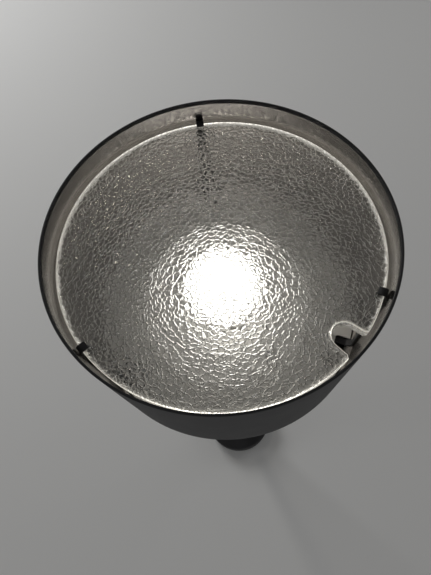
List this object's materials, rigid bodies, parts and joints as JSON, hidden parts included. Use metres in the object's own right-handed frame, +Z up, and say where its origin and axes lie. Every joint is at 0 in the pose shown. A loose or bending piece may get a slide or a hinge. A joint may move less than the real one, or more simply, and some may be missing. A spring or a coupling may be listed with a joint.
{
  "type": "table lamp",
  "caption": "Upward projector table lamp: a drum-and-cone head, mouth up, with a notched pebbled glass disc in clips, on a thin stem and a small round weighted base.",
  "frame": {"origin": "centre of the underside of the base pad, on the lamp's axis, on the surface that the lamp stands on", "axes": "+Z up along the stem and out of the lamp's mouth; +Y to the back, where the cord enters the base; +X to the right seen from the front"},
  "size_m": [0.165, 0.165, 0.5945],
  "materials": {
    "shell_paint": "matte",
    "black_paint": "matte",
    "clip_black": "satin",
    "lens_glass": "polished",
    "tray_paint": "satin",
    "zinc_steel": "satin",
    "iron": "matte",
    "pad_foam": "matte",
    "soft_black": "matte",
    "brass": "satin",
    "nickel": "satin",
    "solder": "satin",
    "holder_black": "satin",
    "steatite": "matte",
    "vitrite": "gloss",
    "bulb_white": "satin",
    "bulb_opal": "satin",
    "board_white": "satin",
    "plastic_black": "satin",
    "plastic_clear_white": "satin",
    "lead_sleeve": "satin"
  },
  "bodies": {
    "lamp": {"base_pad": "pad_foam", "base_plate": "zinc_steel", "base_plate_screws": "zinc_steel", "base_weight": "iron", "base_cover": "black_paint", "base_washer": "zinc_steel", "base_nut": "zinc_steel", "cable_gland": "plastic_black", "cord_clamp": "zinc_steel", "cord_clamp_screws": "zinc_steel", "terminal_block": "plastic_clear_white", "terminal_screws": "brass", "inner_leads": "lead_sleeve", "stem_tube": "black_paint", "stem_bush": "zinc_steel", "threaded_tube": "zinc_steel", "head_collar": "black_paint", "head_shell": "shell_paint", "head_washer": "zinc_steel", "head_nut": "zinc_steel", "bridge_bracket": "zinc_steel", "bracket_nut": "zinc_steel", "holder_base": "holder_black", "holder_skirt": "holder_black", "holder_core": "steatite", "screw_shell": "brass", "centre_contact": "brass", "reflector_tray": "tray_paint", "tray_screws": "zinc_steel", "clip_screws": "zinc_steel", "clip_pads": "soft_black", "lens_clip_1": "clip_black", "lens_clip_2": "clip_black", "lens_clip_3": "clip_black"},
    "glass": {"lens": "lens_glass"},
    "bulb": {"bulb_tip_contact": "solder", "bulb_insulator": "vitrite", "bulb_cap": "nickel", "bulb_housing": "bulb_white", "bulb_led_board": "board_white", "bulb_globe": "bulb_opal"}
  },
  "joints": [
    {"name": "lens_turn", "type": "hinge", "parent": "lamp", "child": "glass", "pos_m": [0, 0, 0.57855], "axis": [0, 0, 1], "continuous": true},
    {"name": "bulb_unscrew", "type": "slide", "parent": "lamp", "child": "bulb", "axis": [0, 0, 1], "range_m": [0, 0.016]}
  ]
}
